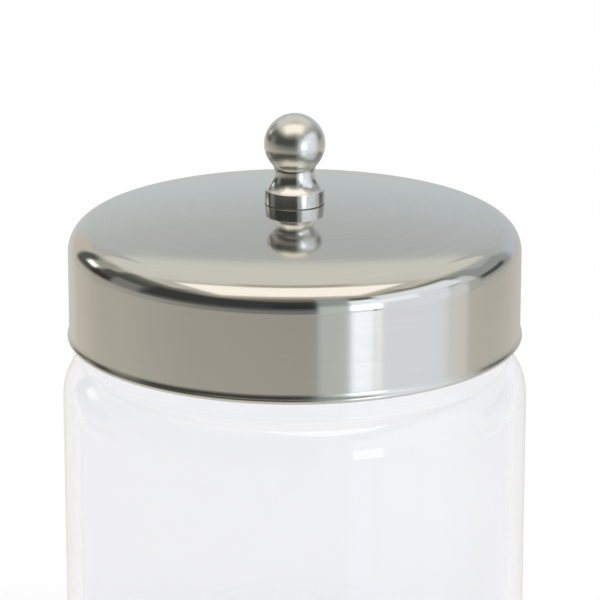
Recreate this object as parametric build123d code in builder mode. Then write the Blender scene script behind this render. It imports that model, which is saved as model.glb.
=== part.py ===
"""Glass disinfectant jar with a slip-on stainless cover and a turned ball knob.

Millimetres, +Z up. The origin is the centre of the ring that the jar stands on.
"""
from build123d import *
import os
from math import atan2, cos, degrees, hypot, radians, sin, sqrt, tan

os.makedirs("parts", exist_ok=True)

# Glass jar, one moulding
jar_height = 150.0          # standing ring to rim
body_radius = 55.7
body_wall = 3.6
heel_radius = 9.0
standing_ring_radius = 42.0  # inner edge of the ring that it stands on
kick_radius = 37.0          # raised middle of the base
kick_height = 2.5
kick_fillet = 3.0
base_thickness = 5.0
inner_heel_radius = 8.0
neck_radius = 51.5
mouth_radius = 48.0
shoulder_radius = 13.0
shoulder_cove = 1.2         # hollow corner between shoulder and neck
inner_shoulder_cove = 4.0
shoulder_slope = 45.0       # degrees
neck_height = 31.15         # shoulder corner to rim

# Lid cover, one drawn sheet
sheet = 0.6
lid_radius = 54.0
lid_height = 32.75          # hem to crown
dome_radius = 244.0
bend_radius = 6.6
flare_turn = 30.0           # degrees that the skirt turns outwards above its hem
curl_radius = 0.8           # rolled hem
curl_bulge = 0.44           # how far the hem stands out from the skirt
curl_turn = 255.0           # degrees
rim_gap = 0.3               # sheet to glass rim

# Knob, one turning
drum_radius = 7.2
drum_height = 3.55
drum_foot_chamfer = 0.2
drum_top_chamfer = 0.2
cove_foot_radius = 6.8      # where the lower cove meets the drum
knob_neck_radius = 4.85
knob_neck_height = 8.0
ball_radius = 7.25
ball_height = 14.3          # knob foot to ball centre

# Fixing, M4
screw_radius = 1.95
thread_radius = 2.0         # tapped hole in the knob
tapped_depth = 10.0
screw_length = 10.0
screw_head_radius = 4.0
screw_head_height = 2.6
screw_head_rounding = 1.6
recess_width = 1.0          # cross recess
recess_span = 4.4
recess_depth = 1.5
cover_hole_radius = 2.2
washer_hole_radius = 2.15
washer_radius = 4.5
washer_thickness = 0.8
spring_washer_radius = 3.8
spring_washer_thickness = 1.0
spring_washer_slit = 0.7

# Where the cover's arcs are centred
bend_centre_radius = lid_radius - bend_radius
dome_drop = sqrt((dome_radius - bend_radius) ** 2 - bend_centre_radius**2)
dome_angle = degrees(atan2(bend_centre_radius, dome_drop))

# The sheet's inside bend rests over the rounded rim, with the gap between
lip_radius = (neck_radius - mouth_radius) / 2
lip_centre_radius = neck_radius - lip_radius
lip_reach = bend_radius - sheet - lip_radius - rim_gap
lip_rise = sqrt(lip_reach**2 - (lip_centre_radius - bend_centre_radius) ** 2)
bend_centre_z = jar_height - lip_radius - lip_rise
dome_centre_z = bend_centre_z - dome_drop
crown_z = dome_centre_z + dome_radius
hem_z = crown_z - lid_height
# The knob stands on the edge of the cover's hole, and the washer's rim bears on the sheet's inside
knob_foot_z = dome_centre_z + sqrt(dome_radius**2 - cover_hole_radius**2)
washer_z = dome_centre_z + sqrt((dome_radius - sheet) ** 2 - washer_radius**2) - washer_thickness
spring_washer_z = washer_z - spring_washer_thickness
curl_centre_radius = lid_radius + curl_bulge - curl_radius
curl_centre_z = hem_z + curl_radius
# The skirt's outside turns out on an arc that ends tangent to the curl
flare_radius = curl_bulge / (1 - cos(radians(flare_turn))) - curl_radius
flare_centre_radius = lid_radius + flare_radius
flare_z = curl_centre_z + (flare_radius + curl_radius) * sin(radians(flare_turn))

# Corners of the jar's half section
slope = radians(shoulder_slope)
floor_z = kick_height + base_thickness
inner_body_radius = body_radius - body_wall
shoulder_corner_z = jar_height - neck_height
shoulder_foot_z = shoulder_corner_z - (body_radius - neck_radius) * tan(slope)
inner_corner_z = shoulder_corner_z + (neck_radius - mouth_radius) * tan(slope) - body_wall / cos(slope)
inner_foot_z = inner_corner_z - (inner_body_radius - mouth_radius) * tan(slope)

with BuildPart() as glass_jar:
    with BuildSketch(Plane.XZ) as jar_section:
        with BuildLine():
            outer = FilletPolyline(
                (0, kick_height),
                (kick_radius, kick_height),
                (standing_ring_radius, 0),
                (body_radius, 0),
                (body_radius, shoulder_foot_z),
                (neck_radius, shoulder_corner_z),
                (neck_radius, jar_height - lip_radius),
                radius=[kick_fillet, kick_fillet, heel_radius, shoulder_radius, shoulder_cove],
            )
            lip = ThreePointArc(
                outer @ 1, (lip_centre_radius, jar_height), (mouth_radius, jar_height - lip_radius)
            )
            inner = FilletPolyline(
                lip @ 1,
                (mouth_radius, inner_corner_z),
                (inner_body_radius, inner_foot_z),
                (inner_body_radius, floor_z),
                (0, floor_z),
                radius=[inner_shoulder_cove, shoulder_radius - body_wall, inner_heel_radius],
            )
            Line(inner @ 1, outer @ 0)
        make_face()
    revolve(axis=Axis.Z)
glass_jar.part.label = "glass_jar"
export_step(glass_jar.part, "parts/glass_jar.step")

bend_centre = (bend_centre_radius, bend_centre_z)
curl_centre = (curl_centre_radius, curl_centre_z)
flare_centre = (flare_centre_radius, flare_z)
with BuildPart() as lid_cover:
    # The dome, bend and skirt's outside, and then their inside cut out of it
    for inset, mode in ((0, Mode.ADD), (sheet, Mode.SUBTRACT)):
        with BuildSketch(Plane.XZ) as profile:
            with BuildLine():
                dome = CenterArc((0, dome_centre_z), dome_radius - inset, 90, -dome_angle)
                bend = CenterArc(bend_centre, bend_radius - inset, 90 - dome_angle, dome_angle - 90)
                skirt_radius = lid_radius - inset
                Polyline(bend @ 1, (skirt_radius, flare_z), (0, flare_z), dome @ 0)
            make_face()
        revolve(axis=Axis.Z, mode=mode)
    with BuildSketch(Plane.XZ) as hem:
        with BuildLine():
            flare_outside = CenterArc(flare_centre, flare_radius, 180, flare_turn)
            flare_inside = CenterArc(flare_centre, flare_radius + sheet, 180, flare_turn)
            curl_outside = CenterArc(curl_centre, curl_radius, flare_turn, -curl_turn)
            curl_inside = CenterArc(curl_centre, curl_radius - sheet, flare_turn, -curl_turn)
            Line(flare_outside @ 0, flare_inside @ 0)
            Line(curl_outside @ 1, curl_inside @ 1)
        make_face()
    revolve(axis=Axis.Z)
    with BuildSketch(Plane.XY.offset(knob_foot_z - 2 * sheet)) as screw_hole:
        Circle(cover_hole_radius)
    extrude(amount=3 * sheet, mode=Mode.SUBTRACT)
lid_cover.part.label = "lid_cover"
export_step(lid_cover.part, "parts/lid_cover.step")

# The knob's coves run level at its neck; the upper one is tangent to the ball
ball_rise = ball_height - knob_neck_height
upper_cove_radius = (knob_neck_radius**2 + ball_rise**2 - ball_radius**2) / (
    2 * (ball_radius - knob_neck_radius)
)
cove_centre_radius = knob_neck_radius + upper_cove_radius
ball_share = ball_radius / hypot(cove_centre_radius, ball_rise)
ball_foot = (cove_centre_radius * ball_share, ball_height - ball_rise * ball_share)
cove_step = cove_foot_radius - knob_neck_radius
cove_drop = knob_neck_height - drum_height
lower_cove_radius = (cove_step**2 + cove_drop**2) / (2 * cove_step)

with BuildPart() as knob:
    with BuildSketch(Plane((0, 0, knob_foot_z), x_dir=(1, 0, 0), z_dir=(0, -1, 0))) as knob_section:
        with BuildLine():
            drum = Polyline(
                (0, 0),
                (drum_radius - drum_foot_chamfer, 0),
                (drum_radius, drum_foot_chamfer),
                (drum_radius, drum_height - drum_top_chamfer),
                (drum_radius - drum_top_chamfer, drum_height),
                (cove_foot_radius, drum_height),
            )
            neck = (knob_neck_radius, knob_neck_height)
            RadiusArc(drum @ 1, neck, lower_cove_radius)
            RadiusArc(neck, ball_foot, upper_cove_radius)
            ball = ThreePointArc(
                ball_foot, (ball_radius, ball_height), (0, ball_height + ball_radius)
            )
            Line(ball @ 1, drum @ 0)
        make_face()
    revolve(axis=Axis.Z)
    with BuildSketch(Plane.XY.offset(knob_foot_z)) as tapped_hole:
        Circle(thread_radius)
    extrude(amount=tapped_depth, mode=Mode.SUBTRACT)
knob.part.label = "knob"
export_step(knob.part, "parts/knob.step")

with BuildPart() as knob_washer:
    with BuildSketch(Plane.XY.offset(washer_z)) as flat_ring:
        Circle(washer_radius)
        Circle(washer_hole_radius, mode=Mode.SUBTRACT)
    extrude(amount=washer_thickness)
knob_washer.part.label = "knob_washer"
export_step(knob_washer.part, "parts/knob_washer.step")

with BuildPart() as spring_washer:
    with BuildSketch(Plane.XY.offset(spring_washer_z)) as split_ring:
        Circle(spring_washer_radius)
        Circle(washer_hole_radius, mode=Mode.SUBTRACT)
        with Locations((spring_washer_radius / 2, 0)):
            Rectangle(spring_washer_radius, spring_washer_slit, mode=Mode.SUBTRACT)
    extrude(amount=spring_washer_thickness)
spring_washer.part.label = "spring_washer"
export_step(spring_washer.part, "parts/spring_washer.step")

with BuildPart() as knob_screw:
    with BuildSketch(Plane.XY.offset(spring_washer_z)) as shank:
        Circle(screw_radius)
    extrude(amount=screw_length)
    with BuildSketch(Plane.XY.offset(spring_washer_z - screw_head_height)) as head:
        Circle(screw_head_radius)
    extrude(amount=screw_head_height)
    fillet(knob_screw.edges().group_by(Axis.Z)[0], screw_head_rounding)
    with BuildSketch(Plane.XY.offset(spring_washer_z - screw_head_height)) as recess:
        Rectangle(recess_span, recess_width)
        Rectangle(recess_width, recess_span)
    extrude(amount=recess_depth, taper=12, mode=Mode.SUBTRACT)
knob_screw.part.label = "knob_screw"
export_step(knob_screw.part, "parts/knob_screw.step")
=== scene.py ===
"""Looks of the glass disinfectant jar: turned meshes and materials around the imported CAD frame."""
from math import atan2, cos, degrees, hypot, pi, radians, sin, sqrt, tan

import bpy
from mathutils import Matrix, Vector


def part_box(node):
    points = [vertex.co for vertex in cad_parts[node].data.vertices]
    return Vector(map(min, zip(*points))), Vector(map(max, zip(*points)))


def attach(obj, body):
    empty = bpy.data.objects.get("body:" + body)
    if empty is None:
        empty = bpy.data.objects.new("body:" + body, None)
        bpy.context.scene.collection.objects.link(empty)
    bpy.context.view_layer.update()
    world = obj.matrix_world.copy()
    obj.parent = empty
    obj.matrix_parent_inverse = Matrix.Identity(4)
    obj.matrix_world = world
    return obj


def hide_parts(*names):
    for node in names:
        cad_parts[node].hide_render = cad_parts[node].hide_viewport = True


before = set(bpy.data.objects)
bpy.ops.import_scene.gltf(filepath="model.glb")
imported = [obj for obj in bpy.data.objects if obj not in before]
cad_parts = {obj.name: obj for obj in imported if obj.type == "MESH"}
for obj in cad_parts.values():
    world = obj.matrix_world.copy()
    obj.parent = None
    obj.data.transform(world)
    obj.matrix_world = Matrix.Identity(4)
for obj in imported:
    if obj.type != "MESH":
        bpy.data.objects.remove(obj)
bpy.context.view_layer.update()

MM = 0.001
SEGMENTS = 288  # around every turned piece


# ---------------------------------------------------------------- turned meshes
# A half section is a list of runs. Each run is a list of (radius, height, normal radius, normal
# height) in millimetres, walked with the material on its left, so that the runs' own normals keep
# mirror finishes exact and leave an edge sharp only where two runs meet at an angle.

def line(start, end, count=1):
    """A straight run with count steps."""
    run_r, run_z = end[0] - start[0], end[1] - start[1]
    length = hypot(run_r, run_z)
    normal = (run_z / length, -run_r / length)
    return [
        (start[0] + run_r * i / count, start[1] + run_z * i / count, *normal)
        for i in range(count + 1)
    ]


def arc(centre, radius, start, end, step):
    """A run round centre between two angles, in degrees from outwards, in steps of about step."""
    count = max(2, round(abs(end - start) / step))
    side = 1 if end > start else -1
    angles = [radians(start + (end - start) * i / count) for i in range(count + 1)]
    return [
        (centre[0] + radius * cos(a), centre[1] + radius * sin(a), side * cos(a), side * sin(a))
        for a in angles
    ]


def rounded(points, radii, step=6):
    """Runs along points, with each inner corner rounded to its radius."""
    runs = []
    start = points[0]
    for before, corner, after, radius in zip(points, points[1:], points[2:], radii):
        way_in = (Vector(corner) - Vector(before)).normalized()
        way_out = (Vector(after) - Vector(corner)).normalized()
        turn = atan2(way_in.x * way_out.y - way_in.y * way_out.x, way_in.dot(way_out))
        back = radius * tan(abs(turn) / 2)
        side = 1 if turn > 0 else -1
        arc_start = Vector(corner) - way_in * back
        if (arc_start - Vector(start)).length > 1e-6:
            runs.append(line(start, arc_start))
        centre = arc_start + Vector((-way_in.y, way_in.x)) * radius * side
        first = degrees(atan2(arc_start.y - centre.y, arc_start.x - centre.x))
        runs.append(arc(centre, radius, first, first + degrees(turn), step))
        start = Vector(corner) + way_out * back
    runs.append(line(start, points[-1]))
    return runs


def turned(name, runs, closed):
    """A mesh object turned from runs round the Z axis. A closed section is a loop off the axis."""
    vertices, faces, normals, rings = [], [], [], []

    def ring(r, z):
        """The vertices at one point of the section: a circle, or one vertex on the axis."""
        first = len(vertices)
        count = 1 if r < 1e-6 else SEGMENTS
        for i in range(count):
            angle = 2 * pi * i / SEGMENTS
            vertices.append((r * MM * cos(angle), r * MM * sin(angle), z * MM))
        return [first + i % count for i in range(SEGMENTS)]

    for run in runs:
        for i, (r, z, _, _) in enumerate(run):
            if not (i == 0 and rings):
                rings.append(ring(r, z))
    if closed:
        rings[-1] = rings[0]
        del vertices[-SEGMENTS:]
    at = 0
    for run in runs:
        for before, after in zip(run, run[1:]):
            low, high = rings[at], rings[at + 1]
            at += 1
            for i in range(SEGMENTS):
                j = (i + 1) % SEGMENTS
                corners = [
                    (low[i], i, before), (low[j], j, before),
                    (high[j], j, after), (high[i], i, after),
                ]
                if low[i] == low[j]:
                    corners.pop(1)
                elif high[i] == high[j]:
                    corners.pop(2)
                faces.append([vertex for vertex, _, _ in corners])
                for _, k, (_, _, normal_r, normal_z) in corners:
                    angle = 2 * pi * k / SEGMENTS
                    normals.append((normal_r * cos(angle), normal_r * sin(angle), normal_z))
    mesh = bpy.data.meshes.new(name)
    mesh.from_pydata(vertices, [], faces)
    mesh.shade_smooth()
    mesh.normals_split_custom_set(normals)
    piece = bpy.data.objects.new(name, mesh)
    bpy.context.scene.collection.objects.link(piece)
    return piece


# ---------------------------------------------------------------- shader helpers

def opaque(colour):
    """A colour of three numbers with an alpha of 1; a socket or a whole colour as it is."""
    return (*colour, 1.0) if isinstance(colour, tuple) and len(colour) == 3 else colour


class Graph:
    """Short names for the nodes that the materials and the world share."""

    def __init__(self, tree):
        self.tree = tree
        tree.nodes.clear()

    def node(self, kind, inputs=(), **settings):
        """A node with its settings, and its inputs set or linked by name or number."""
        node = self.tree.nodes.new(kind)
        for key, value in settings.items():
            setattr(node, key, value)
        for key, value in dict(inputs).items():
            self.put(node.inputs[key], value)
        return node

    def put(self, socket, value):
        """Links a socket to an input, or sets the input's own value."""
        if isinstance(value, bpy.types.NodeSocket):
            self.tree.links.new(value, socket)
        else:
            socket.default_value = value

    def math(self, operation, *values):
        """A Math node's result."""
        return self.node("ShaderNodeMath", dict(enumerate(values)), operation=operation).outputs[0]

    def ease(self, value, low, high):
        """From 0 at low to 1 at high, smoothly. high may be the smaller."""
        inputs = {"Value": value, "From Min": low, "From Max": high, "To Min": 0.0, "To Max": 1.0}
        if high < low:
            inputs.update({"From Min": high, "From Max": low, "To Min": 1.0, "To Max": 0.0})
        return self.node("ShaderNodeMapRange", inputs, interpolation_type="SMOOTHSTEP").outputs[0]

    def between(self, value, low, high, soft):
        """1 from low to high, falling to 0 over soft beyond each."""
        rise = self.ease(value, low - soft, low)
        return self.math("MULTIPLY", rise, self.ease(value, high + soft, high))

    def mix(self, factor, first, second):
        """The first colour at a factor of 0, and the second at 1."""
        inputs = {0: factor, 6: opaque(first), 7: opaque(second)}  # a colour Mix node's sockets
        return self.node("ShaderNodeMix", inputs, data_type="RGBA").outputs[2]

    def ramp(self, value, stops, low, high):
        """Colours at stops, each (value, colour), for value from low to high."""
        share = self.math("DIVIDE", self.math("SUBTRACT", value, low), high - low)
        node = self.node("ShaderNodeValToRGB", {"Fac": share})
        elements = node.color_ramp.elements
        while len(elements) < len(stops):
            elements.new(1.0)
        for element, (at, colour) in zip(elements, stops):
            element.position = (at - low) / (high - low)
            element.color = (*colour, 1.0)
        return node.outputs["Color"]


# ---------------------------------------------------------------- studio

# The renderer's limit on bounces would leave light that is caught inside the glass wall black, so
# past this ray depth the glass lets it out, and what it then meets is the white sweep
CAUGHT_DEPTH = 4.0

FLOOR_HALF = 3.0  # metres from the middle to each side
CEILING_CREAM = (0.80, 0.79, 0.71)

# The camera looks at a point this far right of the hem's centre and above it, in millimetres
AIM_RIGHT = 1.26
AIM_ABOVE = 8.0
CAMERA_DISTANCE = 900  # millimetres from the hem's centre
CAMERA_TILT = 17.49  # degrees above level
CAMERA_LENS = 225  # focal length in millimetres


def make_world():
    """A plain room as polished steel shows it: a pale wall behind, a dark one in front, windows on
    the right and a cream panel in the ceiling. Azimuth is in degrees from the front (-Y), towards
    +X, and elevation in degrees above level."""
    world = bpy.data.worlds.new("studio")
    bpy.context.scene.world = world
    world.use_nodes = True
    g = Graph(world.node_tree)
    way = g.node("ShaderNodeSeparateXYZ", {0: g.node("ShaderNodeTexCoord").outputs["Generated"]})
    x, y, z = way.outputs
    front = g.math("MULTIPLY", y, -1.0)
    azimuth = g.math("DEGREES", g.math("ARCTAN2", x, front))
    elevation = g.math("DEGREES", g.math("ARCSINE", z))

    def panel(room, colour, az, az_soft, el, el_soft):
        """A patch of colour between two azimuths and two elevations, with soft edges."""
        across = g.between(azimuth, *az, az_soft)
        upright = g.between(elevation, *el, el_soft)
        return g.mix(g.math("MULTIPLY", across, upright), room, colour)

    # The back wall, greener on the left, bluer by the windows and darker towards the ceiling
    room = g.mix(g.ease(x, -0.5, 0.5), (0.62, 0.67, 0.65), (0.59, 0.64, 0.69))
    room = g.mix(g.ease(elevation, 8, 34), room, (0.54, 0.56, 0.55))
    room = panel(room, (0.68, 0.62, 0.55), (-156, -146), 8, (-20, 18), 8)
    # The dark half of the room, and what stands in it
    room = panel(room, (0.10, 0.11, 0.10), (-139, 100), 5, (-40, 60), 3)
    room = panel(room, (0.22, 0.21, 0.17), (-104, 104), 6, (40, 60), 12)
    room = panel(room, (0.60, 0.58, 0.49), (-150, -118), 12, (31, 60), 8)
    room = panel(room, (0.44, 0.43, 0.38), (-129, -119), 4, (18, 34), 5)
    room = panel(room, (0.06, 0.045, 0.035), (-120, -106), 4, (2, 9), 4)
    room = panel(room, (0.26, 0.25, 0.24), (-101, -86), 5, (-2, 17), 5)
    room = panel(room, (0.055, 0.058, 0.055), (-77, 10), 5, (9, 30), 5)
    room = panel(room, (0.038, 0.042, 0.044), (-9, 9), 4, (8, 22), 4)
    room = panel(room, (0.37, 0.39, 0.38), (104, 135), 9, (-40, 60), 3)
    room = panel(room, (0.52, 0.54, 0.55), (124, 150), 10, (30, 60), 5)
    room = panel(room, (0.08, 0.09, 0.09), (109, 128), 5, (6, 10), 4)
    # The floor of the room all round, seen past the table
    floor = g.ramp(azimuth, [
        (-180, (0.58, 0.60, 0.58)), (-152, (0.72, 0.70, 0.64)), (-142, (0.62, 0.60, 0.53)),
        (-130, (0.60, 0.575, 0.49)), (-118, (0.50, 0.48, 0.42)), (-95, (0.46, 0.44, 0.385)),
        (-70, (0.37, 0.36, 0.32)), (-50, (0.29, 0.28, 0.25)), (8, (0.21, 0.21, 0.20)),
        (104, (0.54, 0.53, 0.49)), (124, (0.54, 0.53, 0.48)), (146, (0.63, 0.61, 0.575)),
        (180, (0.58, 0.60, 0.58)),
    ], -180, 180)
    room = g.mix(g.ease(elevation, 3, -6), room, floor)
    # The table, close below
    room = g.mix(g.ease(elevation, -14, -24), room, (0.76, 0.735, 0.665))
    # The pale strip of wall beside the windows
    room = panel(room, (0.36, 0.42, 0.40), (13, 28), 3, (-40, 44), 5)
    room = panel(room, (0.62, 0.66, 0.65), (13, 28), 3, (-46, 6), 14)
    # The windows and the sills below them. The brightest patch is kept low, so that the dome
    # doesn't fade into the white sweep from behind
    room = panel(room, (0.93, 0.98, 1.05), (44, 66), 4, (-46, 15), 5)
    room = panel(room, (0.93, 0.99, 1.07), (68, 82), 4, (-46, 15), 5)
    room = panel(room, (0.80, 0.81, 0.80), (85, 94), 5, (-46, 12), 5)
    room = panel(room, (0.74, 0.75, 0.74), (94, 102), 3, (11, 28), 5)
    room = panel(room, (0.55, 0.54, 0.51), (97, 103), 3, (-6, 9), 4)
    room = panel(room, (1.0, 1.05, 1.12), (46, 92), 6, (20, 34), 7)
    room = panel(room, (1.16, 1.23, 1.32), (28.5, 64), 1.5, (11, 20), 4)
    room = panel(room, (1.12, 1.19, 1.28), (28.5, 42), 1.5, (-4, 26), 4)
    room = panel(room, (0.92, 1.0, 1.14), (28.5, 38.5), 2, (-46, -8), 4)
    room = panel(room, (3.0, 3.2, 3.4), (28.5, 42), 1.5, (-7, 7), 4)
    # A small lamp on the dark side
    room = panel(room, (1.5, 1.6, 1.4), (-129, -123), 4, (12, 16), 4)
    # The ceiling, its lamp fitting and its panel, as rectangles at unit height
    up = g.math("MAXIMUM", z, 0.001)
    right = g.math("DIVIDE", x, up)
    back = g.math("DIVIDE", y, up)
    above = g.ease(z, 0.2, 0.3)

    def overhead(room, colour, xs, x_soft, ys, y_soft):
        """A patch of colour on the ceiling, from xs[0] to xs[1] and ys[0] to ys[1]."""
        share = g.math("MULTIPLY", g.between(right, *xs, x_soft), g.between(back, *ys, y_soft))
        return g.mix(g.math("MULTIPLY", share, above), room, colour)

    room = overhead(room, CEILING_CREAM, (-0.92, 0.80), 0.35, (-0.3, 1.28), 0.08)
    # Its far edge bows out in the middle
    curve = g.math("MULTIPLY", g.math("MULTIPLY", right, right), 3.6)
    bow = g.math("SUBTRACT", back, curve)
    middle = g.between(right, -0.34, 0.34, 0.05)
    vault = g.math("MULTIPLY", middle, g.between(bow, 0.2, 1.37, 0.08))
    room = g.mix(g.math("MULTIPLY", vault, above), room, CEILING_CREAM)
    room = overhead(room, (0.62, 0.60, 0.52), (-0.72, 0.62), 0.5, (-0.78, 0.0), 0.4)
    room = overhead(room, (0.55, 0.48, 0.39), (-0.14, 0.14), 0.14, (0.15, 0.27), 0.12)
    room = overhead(room, (1.36, 1.28, 1.13), (-0.68, 0.56), 0.1, (-0.66, 0.0), 0.12)

    # What the camera sees directly or through the glass is the white sweep, and so is what light
    # that was caught inside the glass meets
    path = g.node("ShaderNodeLightPath")
    seen = g.math("MAXIMUM", path.outputs["Is Camera Ray"], path.outputs["Is Transmission Ray"])
    deep = g.math("GREATER_THAN", path.outputs["Ray Depth"], CAUGHT_DEPTH)
    let_out = g.math("MULTIPLY", path.outputs["Is Glossy Ray"], deep)
    seen = g.math("MAXIMUM", seen, let_out)
    sweep = g.node("ShaderNodeBackground", {"Color": (0.96, 0.96, 0.98, 1.0), "Strength": 1.05})
    lit = g.node("ShaderNodeBackground", {"Color": room, "Strength": 1.0})
    shown = g.node("ShaderNodeMixShader", {0: seen, 1: lit.outputs[0], 2: sweep.outputs[0]})
    g.node("ShaderNodeOutputWorld", {"Surface": shown.outputs[0]})


def make_floor():
    """A plain pale floor. Polished steel shows the room's own lower half in its place."""
    mesh = bpy.data.meshes.new("floor")
    corners = [(x * FLOOR_HALF, y * FLOOR_HALF, 0) for x, y in ((-1, -1), (1, -1), (1, 1), (-1, 1))]
    mesh.from_pydata(corners, [], [(0, 1, 2, 3)])
    floor = bpy.data.objects.new("floor", mesh)
    bpy.context.scene.collection.objects.link(floor)
    material = bpy.data.materials.new("pale_floor")
    material.use_nodes = True
    g = Graph(material.node_tree)
    shader = g.node("ShaderNodeBsdfDiffuse", {"Color": (0.855, 0.86, 0.91, 1.0)})
    g.node("ShaderNodeOutputMaterial", {"Surface": shader.outputs[0]})
    mesh.materials.append(material)
    floor.visible_glossy = False


def make_lamp():
    """Soft light from overhead, for the floor: the steel shows the room in its place."""
    lamp = bpy.data.lights.new("overhead", "SUN")
    lamp.energy = 1.5
    lamp.angle = radians(50)
    carrier = bpy.data.objects.new("overhead", lamp)
    carrier.rotation_euler = (radians(14), radians(10), 0)
    carrier.visible_glossy = False
    bpy.context.scene.collection.objects.link(carrier)


def make_camera():
    """A long lens that looks down on the cover, with the hem's centre a little below the middle."""
    hem = Vector((0, 0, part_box("lid_cover")[0].z))
    distance = CAMERA_DISTANCE * MM
    tilt = radians(CAMERA_TILT)
    camera = bpy.data.cameras.new("camera")
    camera.lens = CAMERA_LENS
    camera.clip_end = 20
    carrier = bpy.data.objects.new("camera", camera)
    carrier.location = hem + distance * Vector((0, -cos(tilt), sin(tilt)))
    aim = hem + Vector((AIM_RIGHT, 0, AIM_ABOVE / cos(tilt))) * MM
    carrier.rotation_euler = (aim - carrier.location).to_track_quat("-Z", "Y").to_euler()
    bpy.context.scene.collection.objects.link(carrier)
    bpy.context.scene.camera = carrier
    bpy.context.scene.view_settings.view_transform = "Standard"


# ---------------------------------------------------------------- materials

def steel(name, colour, roughness, spread, grain, depth, brushed=0.0):
    """Stainless steel with a fine grain. spread is how far the roughness varies; grain is how close
    the lines lie round the axis, along the radius and up the height; depth is theirs, in metres;
    brushed is how strongly the highlights are drawn out across the brushing."""
    material = bpy.data.materials.new(name)
    material.use_nodes = True
    g = Graph(material.node_tree)
    place = g.node("ShaderNodeTexCoord").outputs["Object"]
    axes = g.node("ShaderNodeSeparateXYZ", {0: place})
    x, y, z = axes.outputs
    squares = g.math("ADD", g.math("MULTIPLY", x, x), g.math("MULTIPLY", y, y))
    radius = g.math("SQRT", squares)
    around, outwards, upwards = grain
    drawn = g.node("ShaderNodeCombineXYZ", {
        0: g.math("MULTIPLY", x, around),
        1: g.math("MULTIPLY", y, around),
        2: g.math("ADD", g.math("MULTIPLY", radius, outwards), g.math("MULTIPLY", z, upwards)),
    })
    lines = g.node("ShaderNodeTexNoise", {"Vector": drawn.outputs[0], "Scale": 1.0, "Detail": 3.0})
    smudge = g.node("ShaderNodeTexNoise", {"Vector": place, "Scale": 55.0, "Detail": 4.0})
    half_lines = g.math("MULTIPLY", lines.outputs[0], 0.5)
    wear = g.math("ADD", half_lines, g.math("MULTIPLY", smudge.outputs[0], 0.5))
    rough = g.node("ShaderNodeMapRange", {
        "Value": wear, "From Min": 0.3, "From Max": 0.7,
        "To Min": roughness - spread, "To Max": roughness + spread,
    })
    dim = tuple(c * 0.97 for c in colour)
    tone = g.mix(g.ease(lines.outputs[0], 0.35, 0.65), dim, colour)
    bump = g.node("ShaderNodeBump", {
        "Strength": 1.0, "Distance": depth, "Height": lines.outputs[0],
    })
    shader = g.node("ShaderNodeBsdfPrincipled", {
        "Base Color": tone, "Metallic": 1.0, "Roughness": rough.outputs[0],
        "Normal": bump.outputs[0],
    })
    if brushed:
        tangent = g.node("ShaderNodeTangent", direction_type="RADIAL", axis="Z")
        shader.inputs["Anisotropic"].default_value = brushed
        shader.inputs["Anisotropic Rotation"].default_value = 0.25
        g.put(shader.inputs["Tangent"], tangent.outputs[0])
    g.node("ShaderNodeOutputMaterial", {"Surface": shader.outputs[0]})
    return material


def clear_glass():
    """Pressed clear glass, a little cool, with the faint waviness of a moulded wall."""
    material = bpy.data.materials.new("clear_glass")
    material.use_nodes = True
    g = Graph(material.node_tree)
    place = g.node("ShaderNodeTexCoord").outputs["Object"]
    waves = g.node("ShaderNodeTexNoise", {"Vector": place, "Scale": 45.0, "Detail": 1.0})
    bump = g.node("ShaderNodeBump", {
        "Strength": 1.0, "Distance": 0.00006, "Height": waves.outputs[0],
    })
    glass = g.node("ShaderNodeBsdfPrincipled", {
        "Base Color": (0.935, 0.94, 0.957, 1.0), "Roughness": 0.0, "IOR": 1.5,
        "Transmission Weight": 1.0, "Normal": bump.outputs[0],
    })
    clear = g.node("ShaderNodeBsdfTransparent", {"Color": (0.975, 0.98, 0.985, 1.0)})
    # Lamps shine through the wall, and light that is caught inside it comes out
    path = g.node("ShaderNodeLightPath")
    caught = g.math("GREATER_THAN", path.outputs["Ray Depth"], CAUGHT_DEPTH)
    through = g.math("MAXIMUM", path.outputs["Is Shadow Ray"], caught)
    shown = g.node("ShaderNodeMixShader", {0: through, 1: glass.outputs[0], 2: clear.outputs[0]})
    g.node("ShaderNodeOutputMaterial", {"Surface": shown.outputs[0]})
    return material


# ---------------------------------------------------------------- pieces

hem_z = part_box("lid_cover")[0].z / MM
knob_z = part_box("knob")[0].z / MM

# The glass wall, in millimetres
JAR_HEIGHT = 150.0
BODY_RADIUS = 55.7
BODY_WALL = 3.6
NECK_RADIUS = 51.5
MOUTH_RADIUS = 48.0
SHOULDER_CORNER = 118.85  # height at which the shoulder's slope meets the neck
SHOULDER_RADIUS = 13.0
SHOULDER_COVE = 1.2
INNER_COVE = 4
FLOOR_Z = 7.5
KICK_HEIGHT = 2.5  # raised middle of the base
KICK_RADIUS = 37.0
KICK_FILLET = 3
RING_RADIUS = 42.0
HEEL_RADIUS = 9.0
INNER_HEEL_RADIUS = 8

# The cover's sheet
SHEET = 0.6
LID_RADIUS = 54.0
DOME_RADIUS = 244.0
BEND_RADIUS = 6.6
LID_HEIGHT = 32.75
HOLE_RADIUS = 2.2
CURL_RADIUS = 0.8
CURL_BULGE = 0.44
CURL_TURN = 255.0  # degrees round the rolled hem
FLARE_TURN = 30.0  # degrees that the skirt turns out above its rolled hem

# The knob
DRUM_RADIUS = 7.2
DRUM_HEIGHT = 3.55
FOOT_CHAMFER = 0.08
FOOT_ROUNDING = 0.03
TOP_CHAMFER = 0.2
TOP_ROUNDING = 0.12
COVE_FOOT_RADIUS = 6.8
KNOB_NECK_RADIUS = 4.85
KNOB_NECK_HEIGHT = 8.0
BALL_RADIUS = 7.25
BALL_HEIGHT = 14.3
BALL_FINISH = 0.8  # the ball's own finish starts this share of its radius below its centre
TAP_RADIUS = 2.0
TAP_DEPTH = 10.0


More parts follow.
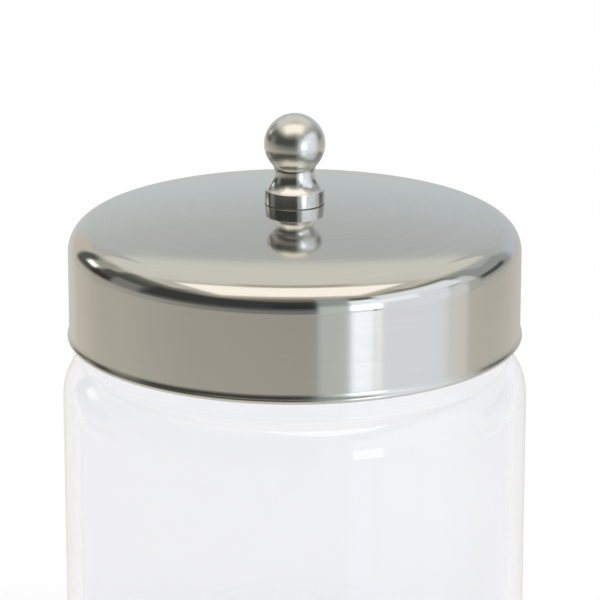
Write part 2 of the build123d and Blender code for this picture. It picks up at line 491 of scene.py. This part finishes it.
def make_jar():
    """The moulded glass, turned from one section that starts and ends on the axis."""
    lip = (NECK_RADIUS - MOUTH_RADIUS) / 2
    shoulder_foot = SHOULDER_CORNER - (BODY_RADIUS - NECK_RADIUS)
    inner_radius = BODY_RADIUS - BODY_WALL
    inner_corner = SHOULDER_CORNER + 2 * lip - BODY_WALL * sqrt(2)
    outside = rounded([
        (0, KICK_HEIGHT), (KICK_RADIUS, KICK_HEIGHT), (RING_RADIUS, 0), (BODY_RADIUS, 0),
        (BODY_RADIUS, shoulder_foot), (NECK_RADIUS, SHOULDER_CORNER),
        (NECK_RADIUS, JAR_HEIGHT - lip),
    ], [KICK_FILLET, KICK_FILLET, HEEL_RADIUS, SHOULDER_RADIUS, SHOULDER_COVE])
    rim = arc((NECK_RADIUS - lip, JAR_HEIGHT - lip), lip, 0, 180, 10)
    inside = rounded([
        (MOUTH_RADIUS, JAR_HEIGHT - lip), (MOUTH_RADIUS, inner_corner),
        (inner_radius, inner_corner - (inner_radius - MOUTH_RADIUS)), (inner_radius, FLOOR_Z),
        (0, FLOOR_Z),
    ], [INNER_COVE, SHOULDER_RADIUS - BODY_WALL, INNER_HEEL_RADIUS])
    jar = turned("moulded_jar", outside + [rim] + inside, closed=False)
    jar.data.materials.append(clear_glass())
    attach(jar, "jar")
    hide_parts("glass_jar")


def make_cover():
    """The drawn cover, turned from the section of its sheet, with a finish for each area."""
    crown = hem_z + LID_HEIGHT
    bend_r = LID_RADIUS - BEND_RADIUS
    dome_drop = sqrt((DOME_RADIUS - BEND_RADIUS) ** 2 - bend_r**2)
    dome_centre = crown - DOME_RADIUS
    bend_z = dome_centre + dome_drop
    edge = degrees(atan2(dome_drop, bend_r))
    curl = (LID_RADIUS + CURL_BULGE - CURL_RADIUS, hem_z + CURL_RADIUS)
    # The skirt turns outwards in a wide arc before it rolls in
    turn_out = CURL_BULGE / (1 - cos(radians(FLARE_TURN)))
    flare_radius = turn_out - CURL_RADIUS
    flare = (LID_RADIUS + flare_radius, curl[1] + turn_out * sin(radians(FLARE_TURN)))

    def hole_angle(radius):
        """Where the screw's hole cuts a dome arc of this radius, in degrees from outwards."""
        return degrees(atan2(sqrt(radius**2 - HOLE_RADIUS**2), HOLE_RADIUS))

    def hole_z(radius):
        """The height of the same point."""
        return dome_centre + sqrt(radius**2 - HOLE_RADIUS**2)

    inner_dome = DOME_RADIUS - SHEET
    inner_bend = BEND_RADIUS - SHEET
    curl_end = FLARE_TURN - CURL_TURN
    curl_outside = arc(curl, CURL_RADIUS, curl_end, FLARE_TURN, 5)
    curl_inside = arc(curl, CURL_RADIUS - SHEET, FLARE_TURN, curl_end, 15)
    skirt_in = LID_RADIUS - SHEET
    # From the rolled edge up the outside to the screw's hole, and back down the inside
    runs = [
        curl_outside,
        arc(flare, flare_radius, 180 + FLARE_TURN, 180, 1),
        line((LID_RADIUS, flare[1]), (LID_RADIUS, bend_z), 12),
        arc((bend_r, bend_z), BEND_RADIUS, 0, edge, 3),
        arc((0, dome_centre), DOME_RADIUS, edge, hole_angle(DOME_RADIUS), 0.3),
        line((HOLE_RADIUS, hole_z(DOME_RADIUS)), (HOLE_RADIUS, hole_z(inner_dome))),
        arc((0, dome_centre), inner_dome, hole_angle(inner_dome), edge, 0.5),
        arc((bend_r, bend_z), inner_bend, edge, 0, 6),
        line((skirt_in, bend_z), (skirt_in, flare[1])),
        arc(flare, flare_radius + SHEET, 180, 180 + FLARE_TURN, 2),
        curl_inside,
        line(curl_inside[-1], curl_outside[0]),
    ]
    cover = turned("drawn_cover", runs, closed=True)
    finishes = {
        "polished": steel(
            "polished_steel", (0.70, 0.69, 0.665), 0.09, 0.015, grain=(60, 2600, 0), depth=0.12e-6
        ),
        "brushed": steel(
            "brushed_steel", (0.70, 0.68, 0.64), 0.20, 0.035, grain=(30, 0, 9000), depth=1.2e-6,
            brushed=1.0,
        ),
        "satin": steel(
            "satin_steel", (0.70, 0.685, 0.65), 0.2, 0.02, grain=(30, 0, 6000), depth=0.4e-6
        ),
    }
    for finish in finishes.values():
        cover.data.materials.append(finish)
    for face in cover.data.polygons:
        outer = face.center.xy.length > (LID_RADIUS - SHEET / 2) * MM
        finish = "polished"
        if face.center.z < flare[1] * MM:
            finish = "satin"
        elif outer and face.center.z < bend_z * MM:
            finish = "brushed"
        face.material_index = list(finishes).index(finish)
    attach(cover, "lid")
    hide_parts("lid_cover")


def make_knob():
    """The turned knob: tapped hole, drum, coved neck and ball in one section."""
    rise = BALL_HEIGHT - KNOB_NECK_HEIGHT
    # The radii of the two coves that run level at the neck; the upper one is tangent to the ball
    upper = KNOB_NECK_RADIUS**2 + rise**2 - BALL_RADIUS**2
    upper /= 2 * (BALL_RADIUS - KNOB_NECK_RADIUS)
    neck_z = knob_z + KNOB_NECK_HEIGHT
    meet = degrees(atan2(rise, KNOB_NECK_RADIUS + upper))
    step = COVE_FOOT_RADIUS - KNOB_NECK_RADIUS
    drop = KNOB_NECK_HEIGHT - DRUM_HEIGHT
    lower = (step**2 + drop**2) / (2 * step)
    cove_foot = degrees(atan2(drop, lower - step))
    tap_z = knob_z + TAP_DEPTH
    foot = rounded([
        (TAP_RADIUS, knob_z),
        (DRUM_RADIUS - FOOT_CHAMFER, knob_z),
        (DRUM_RADIUS, knob_z + FOOT_CHAMFER),
        (DRUM_RADIUS, knob_z + DRUM_HEIGHT - TOP_CHAMFER),
        (DRUM_RADIUS - TOP_CHAMFER, knob_z + DRUM_HEIGHT),
        (COVE_FOOT_RADIUS, knob_z + DRUM_HEIGHT),
    ], [FOOT_ROUNDING, FOOT_ROUNDING, TOP_ROUNDING, TOP_ROUNDING], step=15)
    runs = [
        line((0, tap_z), (TAP_RADIUS, tap_z)),
        line((TAP_RADIUS, tap_z), (TAP_RADIUS, knob_z)),
        *foot,
        arc((KNOB_NECK_RADIUS + lower, neck_z), lower, 180 + cove_foot, 180, 3),
        arc((KNOB_NECK_RADIUS + upper, neck_z), upper, 180, 180 - meet, 3),
        arc((0, knob_z + BALL_HEIGHT), BALL_RADIUS, -meet, 90, 3),
    ]
    knob = turned("turned_knob", runs, closed=False)
    for name, roughness in (("turned_steel", 0.18), ("turned_ball", 0.26)):
        knob.data.materials.append(
            steel(
                name, (0.75, 0.745, 0.73), roughness, 0.02, grain=(150, 1500, 3500), depth=0.6e-6
            )
        )
    ball_foot = (knob_z + BALL_HEIGHT - BALL_RADIUS * BALL_FINISH) * MM
    for face in knob.data.polygons:
        face.material_index = int(face.center.z > ball_foot)
    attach(knob, "lid")
    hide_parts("knob")


def finish_fixing():
    """The screw and washers keep their CAD shapes, in plainer steel."""
    fixing = steel(
        "fastener_steel", (0.60, 0.60, 0.59), 0.28, 0.06, grain=(400, 0, 2000), depth=1e-6
    )
    for name in ("knob_screw", "spring_washer", "knob_washer"):
        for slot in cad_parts[name].material_slots:
            slot.material = fixing


make_world()
make_floor()
make_lamp()
make_camera()
make_jar()
make_cover()
make_knob()
finish_fixing()
